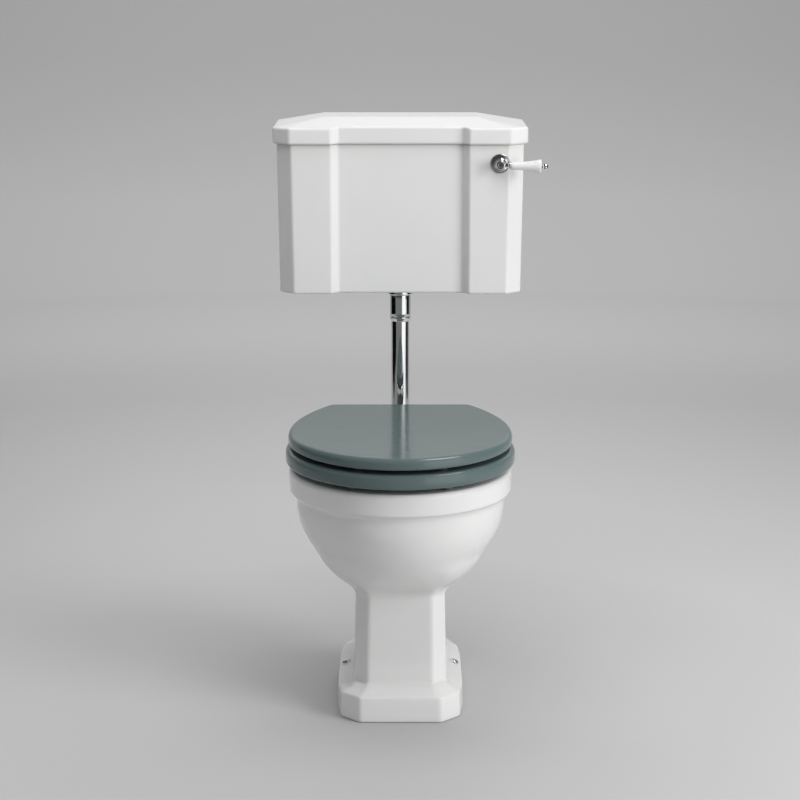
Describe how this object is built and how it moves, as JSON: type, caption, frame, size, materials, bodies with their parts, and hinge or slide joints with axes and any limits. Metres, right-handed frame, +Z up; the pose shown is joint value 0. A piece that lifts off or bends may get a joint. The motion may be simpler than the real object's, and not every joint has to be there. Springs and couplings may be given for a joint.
{
  "type": "low level toilet",
  "caption": "White china low level toilet: pedestal pan with painted wooden seat, cistern close above it on a short chromed flush pipe, side flush lever",
  "frame": {"origin": "on the floor, on the centre line, midway between the two floor screws", "axes": "+X to the right seen from the front, -Y to the front, +Y to the wall, +Z up"},
  "size_m": [0.4719, 0.647, 0.945],
  "materials": {
    "white_china": "white vitreous china with a clear gloss glaze",
    "painted_wood": "wood painted grey-green with a satin sheen",
    "chromed_brass": "bright chrome plating on brass",
    "bare_brass": "machined brass, dull with water",
    "copper": "spun copper, dull with water",
    "bare_steel": "stainless steel wire",
    "white_plastic": "white moulded plastic",
    "grey_plastic": "grey moulded plastic",
    "white_nylon": "white nylon",
    "black_rubber": "black rubber",
    "pale_rubber": "pale grey rubber"
  },
  "bodies": {
    "toilet": {"pan": "white_china", "floor_screws": "chromed_brass", "floor_screw_sleeves": "white_nylon", "floor_screw_caps": "chromed_brass", "hinge_posts": "chromed_brass", "hinge_rod": "chromed_brass", "hinge_bolts": "chromed_brass", "hinge_washers": "black_rubber", "hinge_nuts": "white_nylon", "cistern": "white_china", "flush_nut": "chromed_brass", "flush_sleeve": "chromed_brass", "flush_olive": "chromed_brass", "flush_pipe": "chromed_brass", "flush_cone": "black_rubber", "siphon_body": "white_plastic", "siphon_washer": "black_rubber", "lever_bush": "chromed_brass", "lever_back_nut": "bare_brass", "fill_valve": "bare_brass", "fill_valve_washer": "black_rubber", "fill_valve_nut": "bare_brass", "float_pin": "bare_steel"},
    "ring": {"seat_ring": "painted_wood", "ring_straps": "chromed_brass", "ring_strap_screws": "chromed_brass", "ring_buffers": "pale_rubber"},
    "lid": {"seat_lid": "painted_wood", "lid_straps": "chromed_brass", "lid_strap_screws": "chromed_brass", "lid_buffers": "pale_rubber"},
    "cover": {"cistern_lid": "white_china"},
    "lever": {"lever_spindle": "chromed_brass", "lever_handle": "white_china", "lever_finial": "chromed_brass", "lever_inner_arm": "bare_brass"},
    "siphon_lift": {"plunger_plate": "grey_plastic", "plunger_diaphragm": "black_rubber", "lift_rod": "bare_steel"},
    "float": {"float_arm": "bare_brass", "float_ball": "copper"},
    "piston": {"valve_piston": "bare_brass"}
  },
  "joints": [
    {"name": "ring_hinge", "type": "hinge", "parent": "toilet", "child": "ring", "pos_m": [0, 0.164, 0.43975], "axis": [-1, 0, 0], "range_deg": [0, 92]},
    {"name": "lid_hinge", "type": "hinge", "parent": "ring", "child": "lid", "pos_m": [0, 0.164, 0.43975], "axis": [1, 0, 0], "range_deg": [-92, 0]},
    {"name": "cover_lift", "type": "slide", "parent": "toilet", "child": "cover", "axis": [0, 0, 1], "range_m": [0, 0.12]},
    {"name": "lever_turn", "type": "hinge", "parent": "toilet", "child": "lever", "pos_m": [0.171, 0.20719, 0.871], "axis": [0, 1, 0], "range_deg": [0, 30]},
    {"name": "siphon_slide", "type": "slide", "parent": "toilet", "child": "siphon_lift", "axis": [0, 0, 1], "range_m": [0, 0.04398]},
    {"name": "float_swing", "type": "hinge", "parent": "toilet", "child": "float", "pos_m": [-0.146, 0.322, 0.792], "axis": [0, -1, 0], "range_deg": [0, 35]},
    {"name": "piston_slide", "type": "slide", "parent": "toilet", "child": "piston", "axis": [-1, 0, 0], "range_m": [0, 0.00843]}
  ],
  "couplings": [
    {"joint": "siphon_slide", "follows": "lever_turn", "m_per_rad": 0.08398},
    {"joint": "piston_slide", "follows": "float_swing", "m_per_rad": 0.013783}
  ]
}
